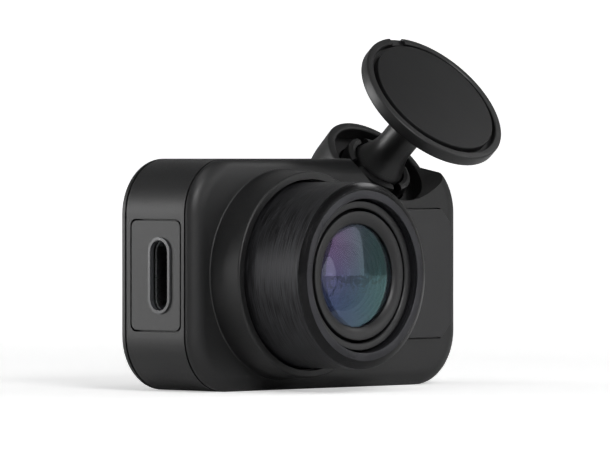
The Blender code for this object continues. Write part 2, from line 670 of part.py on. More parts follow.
def power_socket():
    end = -BODY_WIDTH / 2
    y = at(PORT_DEPTH)
    plate_middle = end + PORT_PLATE_THICKNESS / 2
    plate = slab("port_plate", port_plate_outline(-SEAM / 2), (plate_middle, port_plate_centre(), PORT_Z),
                 PORT_PLATE_THICKNESS, "shell_plastic", facing="X")
    rim = slab("port_rim_guide", port_outline(PORT_RIM), (end, y, PORT_Z), 2 * PORT_RIM_PROUD, facing="X")
    hole = slab("port_plate_hole", port_outline(), (end, y, PORT_Z), 4 * OVERSHOOT, facing="X")
    combine(plate, "UNION", rim)
    cut(plate, hole)
    start = end + PORT_SHELL_SETBACK
    middle = start + PORT_SHELL_LENGTH / 2
    shell = slab("usb_shell", port_outline(PORT_SHELL_WALL), (middle, y, PORT_Z), PORT_SHELL_LENGTH,
                 "steel", facing="X")
    well = slab("usb_well", port_outline(), (middle - 0.5 * MM, y, PORT_Z), PORT_SHELL_LENGTH, facing="X")
    cut(shell, well)
    tongue_length = PORT_SHELL_LENGTH - 0.5 * MM - 1.4 * MM
    tongue_end = start + PORT_SHELL_LENGTH - 0.5 * MM - SEAM
    slab("usb_tongue", rounded_outline(TONGUE_THICKNESS, TONGUE_LONG, 0.2 * MM, 2),
         (tongue_end - tongue_length / 2, y, PORT_Z), tongue_length, "socket_black", facing="X")


# ---------------------------------------------------------------- electronics

def electronics():
    board_middle = BOARD_DEPTH + BOARD_THICKNESS / 2
    board_z = BOARD_LOW + BOARD_HEIGHT / 2
    board = slab("main_board", rounded_outline(BOARD_LENGTH, BOARD_HEIGHT, 1.5 * MM, 3),
                 (0, at(board_middle), board_z), BOARD_THICKNESS, "board")
    for number, (x, z) in enumerate(screw_places(), 1):
        if z < board_z:
            cut(board, bar_along_y(f"board_notch_{number}", STANDOFF_RADIUS + SEAM, x, z,
                                   BOARD_DEPTH - OVERSHOOT, BOARD_DEPTH + OVERSHOOT))
    front = BOARD_DEPTH + BOARD_THICKNESS + SEAM
    chip_z = BOARD_LOW + BOARD_HEIGHT / 2 - 0.6 * MM
    block("processor", PROCESSOR_BOX, (PROCESSOR_X, at(front + PROCESSOR_BOX[1] / 2), chip_z), "chip")
    shield_can(front, chip_z)
    block("supply_cell", CELL_BOX, (CELL_X, at(CELL_DEPTH + CELL_BOX[1] / 2), CELL_Z), "foil")
    speaker(front)
    sensor(front)
    card_group()
    for name, x, z in (("action_switch", ACTION_X, ACTION_Z), ("audio_switch", AUDIO_X, AUDIO_Z)):
        near = REAR_THICKNESS + FLANGE_THICKNESS + BUTTON_TRAVEL + 0.5 * MM
        far = BOARD_DEPTH - SEAM
        block(name, (SWITCH_SIZE, far - near, SWITCH_SIZE), (x, at((near + far) / 2), z), "steel")
    block("microphone", (2.6 * MM, 0.9 * MM, 2.6 * MM),
          (MIC_X, at(BOARD_DEPTH - SEAM - 0.45 * MM), AUDIO_Z), "foil")
    pipe_end = BOARD_DEPTH - SEAM - 0.8 * MM
    block("status_led", (1.6 * MM, 0.5 * MM, 0.8 * MM), (LED_X, at(pipe_end + 0.55 * MM), AUDIO_Z),
          "light_pipe")
    bar_along_y("light_pipe", LED_RADIUS, LED_X, AUDIO_Z, 0.05 * MM, pipe_end, "light_pipe")


def shield_can(front, z):
    """A tin lid over the processor, open towards the board."""
    middle = (PROCESSOR_X, at(front + SHIELD_BOX[1] / 2), z)
    can = block("shield_can", SHIELD_BOX, middle, "steel")
    hollow = [size - 2 * SHIELD_WALL for size in SHIELD_BOX]
    well = block("shield_well", (hollow[0], SHIELD_BOX[1], hollow[2]),
                 (middle[0], middle[1] + SHIELD_WALL, middle[2]))
    cut(can, well)


def speaker(front):
    near = front + 1.0 * MM
    bar_along_y("loudspeaker", SPEAKER_RADIUS, SPEAKER_X, SPEAKER_Z, near, near + SPEAKER_THICKNESS, "chip")


def sensor(front):
    half = SENSOR_BOARD_THICKNESS / 2
    slab("sensor_board", rounded_outline(SENSOR_BOARD_SIZE, SENSOR_BOARD_SIZE, 1.0 * MM, 3),
         (LENS_X, at(SENSOR_BOARD_DEPTH + half), LENS_Z), SENSOR_BOARD_THICKNESS, "board")
    near = SENSOR_BOARD_DEPTH + SENSOR_BOARD_THICKNESS + SEAM
    block("image_sensor", (SENSOR_SIZE, SENSOR_THICKNESS, SENSOR_SIZE),
          (LENS_X, at(near + SENSOR_THICKNESS / 2), LENS_Z), "chip")
    strip_far = SENSOR_BOARD_DEPTH - SEAM
    block("sensor_flex", (6.0 * MM, strip_far - front, 0.5 * MM),
          (LENS_X, at((front + strip_far) / 2), LENS_Z + 4.0 * MM), "flex")


def card_group():
    end = BODY_WIDTH / 2
    card_x = end + CARD_PROUD - CARD_LONG / 2
    slab("memory_card", card_outline(0), (card_x, at(CARD_DEPTH), CARD_Z), CARD_LONG, "chip", facing="X")
    thick = CARD_THICK + 2 * SLIDE_GAP + 2 * SLOT_WALL
    wide = CARD_WIDE + 2 * SLIDE_GAP + 2 * SLOT_WALL
    shell_start = end - WALL - SEAM - SLOT_LONG
    middle = shell_start + SLOT_LONG / 2
    shell = block("card_slot", (SLOT_LONG, thick, wide), (middle, at(CARD_DEPTH), CARD_Z), "steel")
    well = block("card_well", (SLOT_LONG, thick - 2 * SLOT_WALL, wide - 2 * SLOT_WALL),
                 (middle + SLOT_WALL, at(CARD_DEPTH), CARD_Z))
    cut(shell, well)


# ---------------------------------------------------------------- buttons and screws

def audio_outline(grow=0.0):
    return rounded_outline(AUDIO_LONG + 2 * grow, AUDIO_WIDE + 2 * grow, AUDIO_WIDE / 2 + grow, 5)


def buttons():
    def disc(grow):
        radius = ACTION_RADIUS + grow
        return [(radius * math.cos(2 * math.pi * i / ROUND), radius * math.sin(2 * math.pi * i / ROUND))
                for i in range(ROUND)]

    for name, x, z, outline in (("action_button", ACTION_X, ACTION_Z, disc),
                                ("audio_button", AUDIO_X, AUDIO_Z, audio_outline)):
        under = REAR_THICKNESS + SEAM
        rings = []
        for depth, grow in ((-BUTTON_PROUD, -0.25 * MM), (-BUTTON_PROUD + 0.2 * MM, 0.0), (under, 0.0),
                            (under, FLANGE), (under + FLANGE_THICKNESS, FLANGE)):
            rings.append([Vector((x + u, at(depth), z + v)) for u, v in outline(grow)])
        solid(name, rings, "trim_plastic")


def screws():
    for number, (x, z) in enumerate(screw_places(), 1):
        axis = axis_frame(f"screw_axis_{number}", (x, at(0), z), math.radians(90))
        head = 0.1 * MM
        neck = SCREW_HEAD_THICKNESS - SEAM
        turned(f"screw_{number}", [
            (0, head + 0.3 * MM), (0.45 * MM, head + 0.3 * MM), (0.45 * MM, head), (SCREW_HEAD, head),
            (SCREW_HEAD, neck), (SCREW_SHANK, neck), (SCREW_SHANK, SCREW_LENGTH), (0, SCREW_LENGTH)],
            axis, "steel", 16)
        near = REAR_THICKNESS + REAR_LIP + SEAM
        far = FRONT_DEPTH - FRONT_WALL - SEAM
        turned(f"standoff_{number}", [
            (SCREW_SHANK + SEAM, near), (STANDOFF_RADIUS, near), (STANDOFF_RADIUS, far),
            (SCREW_SHANK + SEAM, far)], axis, "foil", 16)


def build():
    for leftover in list(bpy.data.objects):
        bpy.data.objects.remove(leftover)
    lens_axis = axis_frame("lens_axis", (LENS_X, REAR_Y, LENS_Z), math.radians(90))
    mouth = Vector((SOCKET_X, at(SOCKET_DEPTH), SOCKET_Z))
    socket_axis = axis_frame("socket_axis", mouth, SOCKET_TILT)
    leaning = Matrix.Rotation(SOCKET_TILT, 3, "X") @ Vector((0, 0, 1))
    stem_axis = axis_frame("stem_axis", mouth - BALL_SINK * leaning, STEM_TILT)
    rear_cover()
    mid_housing(socket_axis)
    front_cover(lens_axis, socket_axis)
    trim_body("trim_plate", 0.0, FRONT_DEPTH - TRIM_SEAT, FRONT_DEPTH + TRIM_PROUD, "trim_plastic")
    lens_group(lens_axis)
    claw_ring(socket_axis)
    mount_group(stem_axis)
    power_socket()
    electronics()
    buttons()
    screws()


build()
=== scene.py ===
"""Looks of the dash camera: detailed pieces, finishes, floor, light and camera.

Metres, +Z up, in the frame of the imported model. The lens looks along -Y.
A turned piece is drawn about its own local Z, which then lies on its axis.
"""
import json
import math

import bmesh
import bpy
from mathutils import Matrix, Vector


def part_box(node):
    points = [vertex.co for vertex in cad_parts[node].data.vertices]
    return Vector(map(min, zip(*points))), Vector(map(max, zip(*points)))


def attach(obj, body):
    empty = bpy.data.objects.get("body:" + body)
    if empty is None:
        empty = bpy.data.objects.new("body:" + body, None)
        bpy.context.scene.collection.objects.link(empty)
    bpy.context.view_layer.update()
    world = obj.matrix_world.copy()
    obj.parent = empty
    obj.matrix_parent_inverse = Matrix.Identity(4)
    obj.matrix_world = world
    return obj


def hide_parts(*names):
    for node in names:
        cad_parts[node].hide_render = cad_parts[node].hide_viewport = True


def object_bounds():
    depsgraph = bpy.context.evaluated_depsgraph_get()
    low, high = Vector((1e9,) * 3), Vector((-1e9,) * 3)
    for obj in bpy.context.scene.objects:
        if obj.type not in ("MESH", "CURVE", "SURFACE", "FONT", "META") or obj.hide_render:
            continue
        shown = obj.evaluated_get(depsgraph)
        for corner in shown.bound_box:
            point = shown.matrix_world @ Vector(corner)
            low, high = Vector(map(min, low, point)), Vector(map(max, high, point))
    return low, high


MM = 0.001

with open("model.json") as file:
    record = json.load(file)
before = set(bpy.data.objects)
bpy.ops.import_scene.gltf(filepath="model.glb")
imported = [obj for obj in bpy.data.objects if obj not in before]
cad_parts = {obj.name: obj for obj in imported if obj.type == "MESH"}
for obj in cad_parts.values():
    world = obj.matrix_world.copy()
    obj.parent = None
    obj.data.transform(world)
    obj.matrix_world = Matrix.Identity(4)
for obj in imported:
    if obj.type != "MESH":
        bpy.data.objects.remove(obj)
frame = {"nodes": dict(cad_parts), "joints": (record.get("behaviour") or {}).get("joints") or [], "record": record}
CAD_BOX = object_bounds()
cad_nodes = frame["nodes"]


# ---------------------------------------------------------------- places, read from the frame

def low(node):
    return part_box(node)[0]


def high(node):
    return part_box(node)[1]


def middle(node):
    return (low(node) + high(node)) / 2


def joint(name):
    return next(j for j in frame["joints"] if j["name"] == name)


GAP = 0.30 * MM              # between two shells
REAR = high("rear_cover").y
SIDE = high("mid_housing").x
HEIGHT = high("mid_housing").z
HOUSING_REAR = high("mid_housing").y
HOUSING_FRONT = low("mid_housing").y
SEAM = HOUSING_FRONT - GAP   # rear edge of the front cover
BOSS_FRONT = low("front_cover").y
LENS = middle("lens_barrel")
RIM_FACE = low("lens_barrel").y
BARREL_RADIUS = (high("lens_barrel").x - low("lens_barrel").x) / 2
BALL = Vector(joint("mount_spin")["pos_m"])
STEM_AXIS = Vector(joint("mount_spin")["axis"])
PORT = middle("usb_shell")
CARD = middle("memory_card")

# Shells
CORNER = 7.5 * MM
WALL = 1.3 * MM
REAR_THICKNESS = 1.0 * MM
REAR_ROUND = 0.8 * MM
REAR_LIP = 1.0 * MM
FRONT_ROUND = 2.4 * MM
FRONT_BULGE = 1.5 * MM       # front flat ahead of the seam
FRONT_WALL = 1.1 * MM
EDGE = 0.12 * MM             # eased edge of a moulded part

# Lens
BOSS_BASE_RADIUS = 14.15 * MM
BOSS_RADIUS = 13.9 * MM
BOSS_EASE = 0.3 * MM
BARREL_GAP = 0.4 * MM
RIM_RADIUS = 11.43 * MM
RIM_CHAMFER = 0.62 * MM
RIM_BORE = 10.3 * MM
RECESS = 1.0 * MM
RETAINER_WIDTH = 0.95 * MM
CELL_GAP = 0.38 * MM
GLASS_RADIUS = 6.85 * MM
GLASS_CROWN = 0.75 * MM

# Mount
SOCKET_TILT = math.radians(45.5)
SOCKET_RADIUS = 8.2 * MM
SOCKET_BORE = 7.0 * MM
SOCKET_LENGTH = 7.6 * MM
SOCKET_GROOVE = 2.0 * MM
SOCKET_REAR = 1.35 * MM
BALL_SINK = 0.9 * MM
CLAW_RADIUS = 5.1 * MM
STEM_RADIUS = 2.5 * MM
PLATE_RADIUS = 11.1 * MM
PLATE_THICKNESS = 1.9 * MM
PLATE_DISTANCE = 12.95 * MM
PAD_RADIUS = 9.7 * MM

# Holes and openings
ACTION_HOLE = 4.95 * MM      # radius
AUDIO_HOLE = (6.7 * MM, 3.3 * MM)
LED_HOLE = 1.2 * MM          # radius
MICROPHONE_HOLE = 0.55 * MM  # radius
SCREW_HEAD = 1.7 * MM        # radius of the head's recess
SCREW_SHANK = 0.9 * MM
SCREW_SINK = 0.7 * MM
PORT_WIDE = 3.2 * MM         # the power opening
PORT_LONG = 9.4 * MM
PORT_RIM = 0.45 * MM         # polished rim round it, coloured lighter grey as a painted highlight
PORT_CLEARANCE = 0.05 * MM   # of the end plate's hole round the opening
PORT_SINK = 0.6 * MM         # of the housing's hole round the opening
PORT_POCKET_GAP = 0.15 * MM
CARD_HOLE = (1.7 * MM, 11.7 * MM)
TRIM_CORNER = (2.0 * MM, 2.1 * MM)
TRIM_BOSS_GAP = 0.9 * MM     # between the trim plate's arc and the boss
TRIM_POCKET_DEPTH = 0.65 * MM

# Studio: how bright the floor and the wall are seen, and how bright the air is
FLOOR_GLOW = 0.43
WALL_GLOW = 0.85
WORLD_LEVEL = 0.18

FINE = 128                   # sides of a large round piece
SMALL = 48
OVER = 2.0 * MM              # how far a cutter runs past its piece


# ---------------------------------------------------------------- shapes

def place(piece, frame_matrix=None):
    bpy.context.scene.collection.objects.link(piece)
    if frame_matrix is not None:
        piece.matrix_world = frame_matrix
    return piece


def loft(name, rings, closed_section=False, frame_matrix=None):
    """A closed body through rings of points; a ring of one point closes that end."""
    mesh = bpy.data.meshes.new(name)
    body = bmesh.new()
    loops = [[body.verts.new(point) for point in ring] for ring in rings]
    pairs = list(zip(loops, loops[1:]))
    if closed_section:
        pairs.append((loops[-1], loops[0]))
    for first, second in pairs:
        count = max(len(first), len(second))
        for i in range(count):
            j = (i + 1) % count
            corners = []
            for loop, index in ((first, i), (first, j), (second, j), (second, i)):
                corner = loop[index % len(loop)]
                if corner not in corners:
                    corners.append(corner)
            if len(corners) > 2:
                body.faces.new(corners)
    if not closed_section:
        for loop in (loops[0], loops[-1]):
            if len(loop) > 2:
                body.faces.new(loop)
    bmesh.ops.recalc_face_normals(body, faces=body.faces)
    body.to_mesh(mesh)
    body.free()
    return place(bpy.data.objects.new(name, mesh), frame_matrix)


def circle(radius, height, sides):
    if radius < 1e-7:
        return [Vector((0, 0, height))]
    angles = [2 * math.pi * i / sides for i in range(sides)]
    return [Vector((radius * math.cos(a), radius * math.sin(a), height)) for a in angles]


def turned(name, profile, axis, sides=FINE):
    """A turned body from (radius, height) points; its section closes if it misses the axis."""
    hollow = all(radius > 1e-7 for radius, _ in profile)
    return loft(name, [circle(r, h, sides) for r, h in profile], hollow, axis)


def arc(centre, radius, start, end, steps):
    """Points on an arc, angles in degrees."""
    angles = [math.radians(start + (end - start) * i / steps) for i in range(steps + 1)]
    return [(centre[0] + radius * math.cos(a), centre[1] + radius * math.sin(a)) for a in angles]


def rounded_outline(width, height, radius, steps=14):
    radius = min(radius, width / 2 - 1e-6, height / 2 - 1e-6)
    across, up = width / 2 - radius, height / 2 - radius
    corners = (((across, up), 0), ((-across, up), 90), ((-across, -up), 180), ((across, -up), 270))
    return [p for centre, start in corners for p in arc(centre, radius, start, start + 90, steps)]


def body_ring(y, inset=0.0):
    """The body's outline at one Y, moved inwards."""
    outline = rounded_outline(2 * (SIDE - inset), HEIGHT - 2 * inset, max(CORNER - inset, 0.5 * MM))
    return [Vector((u, y, HEIGHT / 2 + v)) for u, v in outline]


def slab(name, outline, centre, thickness, facing="Y"):
    """An outline across an axis, pushed through a thickness about its centre."""
    rings = []
    for side in (-thickness / 2, thickness / 2):
        if facing == "Y":
            flat = [(u, side, v) for u, v in outline]
        else:
            flat = [(side, u, v) for u, v in outline]
        rings.append([Vector(centre) + Vector(point) for point in flat])
    return loft(name, rings)


def port_outline(grow=0.0):
    """The power opening's rounded outline, widened all round."""
    return rounded_outline(PORT_WIDE + 2 * grow, PORT_LONG + 2 * grow, PORT_WIDE / 2 + grow)


def disc_outline(radius, sides=SMALL):
    return [(p.x, p.y) for p in circle(radius, 0, sides)]


def axis_at(point, tilt):
    """A frame at a point whose Z leans forward from straight up by the tilt."""
    return Matrix.Translation(point) @ Matrix.Rotation(tilt, 4, "X")


def combine(piece, operation, *others):
    """Booleans in turn, applied, with the other bodies used up."""
    for other in others:
        step = piece.modifiers.new("combine", "BOOLEAN")
        step.operation = operation
        step.solver = "EXACT"
        step.object = other
        bpy.context.view_layer.update()
        shaped = piece.evaluated_get(bpy.context.evaluated_depsgraph_get())
        mesh = bpy.data.meshes.new_from_object(shaped)
        piece.modifiers.clear()
        piece.data = mesh
        bpy.data.objects.remove(other)


def ease(piece, width=EDGE, angle=32, segments=2):
    """Rounds the sharp edges a little, as a mould or a tool leaves them, and shades the rest smooth."""
    body = bmesh.new()
    body.from_mesh(piece.data)
    bmesh.ops.remove_doubles(body, verts=body.verts, dist=1e-6)
    bmesh.ops.dissolve_limit(body, angle_limit=math.radians(0.5), verts=body.verts, edges=body.edges)
    body.to_mesh(piece.data)
    body.free()
    piece.data.shade_smooth()
    piece.data.set_sharp_from_angle(angle=math.radians(angle))
    if width:
        step = piece.modifiers.new("eased_edges", "BEVEL")
        step.width = width
        step.segments = segments
        step.limit_method = "ANGLE"
        step.angle_limit = math.radians(angle)
        step.harden_normals = True
    return piece


def wear(piece, material, body, *nodes, slot=None):
    """Gives a piece its finish, its body and the nodes it stands for."""
    piece.data.materials.clear()
    piece.data.materials.append(material)
    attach(piece, body)
    if nodes:
        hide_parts(*nodes)
    return piece


def eased_copy(node, name, width=EDGE):
    """A CAD node's own shape with its edges rounded."""
    mesh = cad_nodes[node].data.copy()
    mesh.name = name
    return ease(place(bpy.data.objects.new(name, mesh)), width)


LENS_AXIS = axis_at(Vector((LENS.x, 0, LENS.z)), math.radians(90))
LEAN = Matrix.Rotation(SOCKET_TILT, 3, "X") @ Vector((0, 0, 1))
MOUTH = BALL + BALL_SINK * LEAN
SOCKET_FRAME = axis_at(MOUTH, SOCKET_TILT)
STEM_FRAME = axis_at(BALL, math.atan2(-STEM_AXIS.y, STEM_AXIS.z))


# ---------------------------------------------------------------- finishes

def hex_colour(code):
    """An sRGB hex colour as linear RGBA."""
    channels = [int(code[i:i + 2], 16) / 255 for i in (1, 3, 5)]
    return [c / 12.92 if c <= 0.04045 else ((c + 0.055) / 1.055) ** 2.4 for c in channels] + [1.0]


def add_node(tree, kind, settings=None, links=None):
    """One node with its settings and its links; a setting is an input's value or the node's own."""
    node = tree.nodes.new(kind)
    for key, value in (settings or {}).items():
        if isinstance(key, int) or key in node.inputs:
            node.inputs[key].default_value = value
        else:
            setattr(node, key, value)
    for key, source in (links or {}).items():
        tree.links.new(source, node.inputs[key])
    return node


def new_finish(name):
    material = bpy.data.materials.new(name)
    material.use_nodes = True
    tree = material.node_tree
    tree.nodes.clear()
    shader = add_node(tree, "ShaderNodeBsdfPrincipled")
    add_node(tree, "ShaderNodeOutputMaterial", links={"Surface": shader.outputs[0]})
    place_on = add_node(tree, "ShaderNodeTexCoord").outputs["Object"]
    return material, tree, shader, place_on


def mottle(tree, place_on, feature, detail=2.0, stretch=(1, 1, 1)):
    """Noise with features of a real size, stretched along an axis if asked."""
    mapped = add_node(tree, "ShaderNodeMapping", {"Scale": stretch}, {"Vector": place_on}).outputs[0]
    return add_node(tree, "ShaderNodeTexNoise", {"Scale": 1 / feature, "Detail": detail},
                    {"Vector": mapped}).outputs[0]


def between(tree, factor, first, second, lowest=0.35, highest=0.65):
    """Two colours mixed by a noise."""
    spread = add_node(tree, "ShaderNodeMapRange", {"From Min": lowest, "From Max": highest},
                      {"Value": factor}).outputs[0]
    mix = add_node(tree, "ShaderNodeMix", {"data_type": "RGBA"})
    mix.inputs[6].default_value = hex_colour(first)
    mix.inputs[7].default_value = hex_colour(second)
    tree.links.new(spread, mix.inputs[0])
    return mix.outputs[2]


def spread_value(tree, factor, lowest, highest):
    return add_node(tree, "ShaderNodeMapRange",
                    {"From Min": 0.3, "From Max": 0.7, "To Min": lowest, "To Max": highest},
                    {"Value": factor}).outputs[0]


def bump(tree, height, depth, strength=1.0, before=None):
    links = {"Height": height}
    if before is not None:
        links["Normal"] = before
    return add_node(tree, "ShaderNodeBump", {"Distance": depth, "Strength": strength}, links).outputs[0]


def moulded_abs(name, dark, light, roughness, grit=0.22 * MM, depth=0.006 * MM, specular=0.5):
    """ABS from a spark-eroded mould: an even satin with a fine grain.

    The real grain is about 0.05 mm; it is drawn four to six times as coarse so that it shows.
    """
    material, tree, shader, on = new_finish(name)
    grain = mottle(tree, on, grit, 3.0)
    cloud = mottle(tree, on, 9 * MM, 2.0)
    tree.links.new(between(tree, cloud, dark, light), shader.inputs["Base Color"])
    tree.links.new(spread_value(tree, grain, roughness - 0.05, roughness + 0.05), shader.inputs["Roughness"])
    tree.links.new(bump(tree, grain, depth), shader.inputs["Normal"])
    shader.inputs["IOR"].default_value = 1.54
    shader.inputs["Specular IOR Level"].default_value = specular
    return material


def spun_anodised_aluminium(name, dark, light, roughness, pitch=0.2 * MM, depth=0.012 * MM, streak=2.2 * MM,
                            metallic=0.6):
    """Black-anodised aluminium, turned and then brushed round its axis: broken rings of fine scratches.

    The real scratches are about 0.05 mm apart; they are drawn two to six times as coarse so that they show.
    """
    material, tree, shader, on = new_finish(name)
    along = pitch / streak
    lines = mottle(tree, on, pitch, 3.0, (along, along, 1))
    tree.links.new(between(tree, lines, dark, light, 0.3, 0.7), shader.inputs["Base Color"])
    tree.links.new(spread_value(tree, lines, roughness - 0.1, roughness + 0.12), shader.inputs["Roughness"])
    tree.links.new(bump(tree, lines, depth), shader.inputs["Normal"])
    shader.inputs["Metallic"].default_value = metallic
    return material


def painted_reflection_tint(tree, on, upper, lower, side):
    """Painted reflection colour: one shade above, one below, and a third towards one side, fixed to the glass."""
    split = add_node(tree, "ShaderNodeSeparateXYZ", links={"Vector": on})
    share = {axis: add_node(tree, "ShaderNodeMapRange",
                            {"From Min": -GLASS_RADIUS * 0.8, "From Max": GLASS_RADIUS * 0.8,
                             "interpolation_type": "SMOOTHSTEP"},
                            {"Value": split.outputs[axis]}).outputs[0] for axis in "XY"}
    vertical = add_node(tree, "ShaderNodeMix", {"data_type": "RGBA"})
    vertical.inputs[6].default_value = hex_colour(lower)
    vertical.inputs[7].default_value = hex_colour(upper)
    tree.links.new(share["Y"], vertical.inputs[0])
    across = add_node(tree, "ShaderNodeMix", {"data_type": "RGBA"})
    across.inputs[7].default_value = hex_colour(side)
    tree.links.new(share["X"], across.inputs[0])
    tree.links.new(vertical.outputs[2], across.inputs[6])
    return across.outputs[2]


def coated_glass(name, upper, lower, side):
    """Polished optical glass with an anti-reflection coating; what it reflects is tinted by a painted reflection
    colour, purple above, blue below, teal to one side.
    """
    material, tree, shader, on = new_finish(name)
    tree.links.new(painted_reflection_tint(tree, on, upper, lower, side), shader.inputs["Specular Tint"])
    shader.inputs["Transmission Weight"].default_value = 1.0
    shader.inputs["Roughness"].default_value = 0.0
    shader.inputs["IOR"].default_value = 1.6
    shader.inputs["Base Color"].default_value = hex_colour("#d5dbe8")
    return material


def inner_glass(name, upper, lower, side, glow):
    """The elements behind the front glass: dark and polished, with a painted glow in painted reflection colours
    that stands in for the light passing through them.
    """
    material, tree, shader, on = new_finish(name)
    tint = painted_reflection_tint(tree, on, upper, lower, side)
    dust = mottle(tree, on, 1.5 * MM, 2.0)
    tree.links.new(tint, shader.inputs["Base Color"])
    # painted glow: the glass emits light in its painted reflection colours
    tree.links.new(tint, shader.inputs["Emission Color"])
    tree.links.new(spread_value(tree, dust, 0.02, 0.05), shader.inputs["Roughness"])
    shader.inputs["Emission Strength"].default_value = glow
    shader.inputs["IOR"].default_value = 1.7
    return material


def satin_metal(name, dark, light, roughness, grain=0.15 * MM, metallic=1.0, stretch=(1, 1, 1)):
    """Rolled, plated or turned metal with a fine directional grain."""
    material, tree, shader, on = new_finish(name)
    lines = mottle(tree, on, grain, 3.0, stretch)
    tree.links.new(between(tree, lines, dark, light), shader.inputs["Base Color"])
    tree.links.new(spread_value(tree, lines, roughness - 0.06, roughness + 0.08), shader.inputs["Roughness"])
    tree.links.new(bump(tree, lines, 0.003 * MM), shader.inputs["Normal"])
    shader.inputs["Metallic"].default_value = metallic
    return material


def solder_resist(name):
    """Green solder resist over a grid of fine copper tracks 2 mm apart."""
    material, tree, shader, on = new_finish(name)
    tracks = add_node(tree, "ShaderNodeTexBrick", {"Scale": 1 / (8 * MM), "Mortar Size": 0.02},
                      {"Vector": on})
    tracks.inputs["Color1"].default_value = hex_colour("#1b4a2c")
    tracks.inputs["Color2"].default_value = hex_colour("#1f5434")
    tracks.inputs["Mortar"].default_value = hex_colour("#2f7347")
    tree.links.new(tracks.outputs["Color"], shader.inputs["Base Color"])
    tree.links.new(bump(tree, tracks.outputs["Fac"], 0.02 * MM), shader.inputs["Normal"])
    shader.inputs["Roughness"].default_value = 0.4
    return material


def closed_cell_foam(name):
    """Black foam tape under its clear liner: almost even, with faint cells 0.4 mm across."""
    material, tree, shader, on = new_finish(name)
    cells = add_node(tree, "ShaderNodeTexVoronoi", {"Scale": 1 / (0.4 * MM)}, {"Vector": on})
    cloud = mottle(tree, on, 6 * MM, 2.0)
    tree.links.new(between(tree, cloud, "#141415", "#161617"), shader.inputs["Base Color"])
    tree.links.new(bump(tree, cells.outputs["Distance"], 0.004 * MM), shader.inputs["Normal"])
    shader.inputs["Roughness"].default_value = 0.5
    shader.inputs["Specular IOR Level"].default_value = 0.35
    return material


def clear_acrylic(name):
    """Polished clear acrylic, very slightly milky."""
    material, tree, shader, on = new_finish(name)
    haze = mottle(tree, on, 0.5 * MM)
    tree.links.new(between(tree, haze, "#dfe3e6", "#f0f2f3"), shader.inputs["Base Color"])
    shader.inputs["Roughness"].default_value = 0.12
    shader.inputs["Transmission Weight"].default_value = 0.7
    shader.inputs["IOR"].default_value = 1.49
    return material


FINISH = {
    "shell_plastic": moulded_abs("moulded_abs_shell", "#121213", "#151516", 0.46),
    "port_plastic": moulded_abs("moulded_abs_port_plate", "#131314", "#161617", 0.44),
    "trim_plastic": moulded_abs("moulded_abs_trim", "#18181a", "#1b1b1d", 0.4, 0.3 * MM, 0.003 * MM),
    "button_plastic": moulded_abs("moulded_abs_button", "#1d1e20", "#212224", 0.42),
    "mount_plastic": moulded_abs("moulded_nylon_mount", "#111112", "#141415", 0.42),
    "socket_black": moulded_abs("moulded_acetal_socket", "#0b0b0c", "#0e0e0f", 0.5),
    "lens_black": moulded_abs("blackened_lens_cell", "#151516", "#18181a", 0.42, 0.25 * MM, 0.002 * MM),
    "spun_aluminium": spun_anodised_aluminium("spun_anodised_aluminium", "#0c0c0d", "#3c3c3f", 0.5, 0.16 * MM,
                                              0.03 * MM, 3.2 * MM),
    "black_aluminium": spun_anodised_aluminium("bored_anodised_aluminium", "#070708", "#101011", 0.45),
    # the three colours are a painted reflection tint: above, below and towards one side
    "coated_glass": coated_glass("coated_glass_painted_reflection_tint", "#e6b4ff", "#86a8ff", "#7fe6d8"),
    "seal_rubber": moulded_abs("moulded_silicone_seal", "#0d0d0d", "#121212", 0.75),
    "plated_steel": satin_metal("tin_plated_steel", "#a9abad", "#c2c4c6", 0.3),
    "screw_steel": satin_metal("black_zinc_screw", "#222224", "#303033", 0.35),
    "standoff_brass": satin_metal("turned_brass", "#b08a42", "#c9a25a", 0.3, stretch=(0.1, 0.1, 1)),
    "circuit_board": solder_resist("green_solder_resist"),
    "chip_resin": moulded_abs("moulded_epoxy_chip", "#121214", "#18181a", 0.5),
    "card_resin": moulded_abs("moulded_card_resin", "#101012", "#161618", 0.35),
    "cell_foil": satin_metal("aluminium_pouch_foil", "#a4a8ab", "#c2c6c9", 0.35),
    "flex_film": moulded_abs("polyimide_film", "#9a5a1e", "#ad6c2b", 0.35),
    "clear_plastic": clear_acrylic("clear_acrylic"),
    "adhesive": closed_cell_foam("closed_cell_foam_tape"),
}
# the inner glasses carry painted light: a faint glow, purple above, blue below, teal to one side
INNER_GLASS_PAINTED_GLOW = inner_glass("inner_glass_painted_glow", "#1c1629", "#10263d", "#0b1b1c", 0.22)
CHAMFER = spun_anodised_aluminium("burnished_aluminium_chamfer", "#0e0e0f", "#1a1a1c", 0.2,
                                  0.3 * MM, 0.001 * MM, 12 * MM)
RIM = spun_anodised_aluminium("faced_aluminium_rim", "#2a2a2d", "#3c3c40", 0.32, 0.1 * MM, 0.003 * MM, 6 * MM)
# a lighter grey than the shell: painted highlight on the rim round the power opening
PORT_EDGE_PAINTED_HIGHLIGHT = moulded_abs("port_edge_painted_highlight", "#3a3b3d", "#444547", 0.22, 0.3 * MM, 0.001 * MM)


def dress_cad_nodes():
    """Each CAD node wears the finish of its slot in the record."""
    for entry in frame["record"]["subparts"]:
        mesh = cad_nodes[entry["node"]].data
        mesh.materials.clear()
        mesh.materials.append(FINISH[entry["material_slot"]])


# ---------------------------------------------------------------- shells

def screw_holes():
    """Middles of the rear screws, from the screws themselves."""
    return [(middle(f"screw_{n}").x, middle(f"screw_{n}").z) for n in (1, 2, 3)]


def along_y(name, radius, x, z, start, end, sides=SMALL):
    return slab(name, disc_outline(radius, sides), (x, (start + end) / 2, z), abs(end - start))


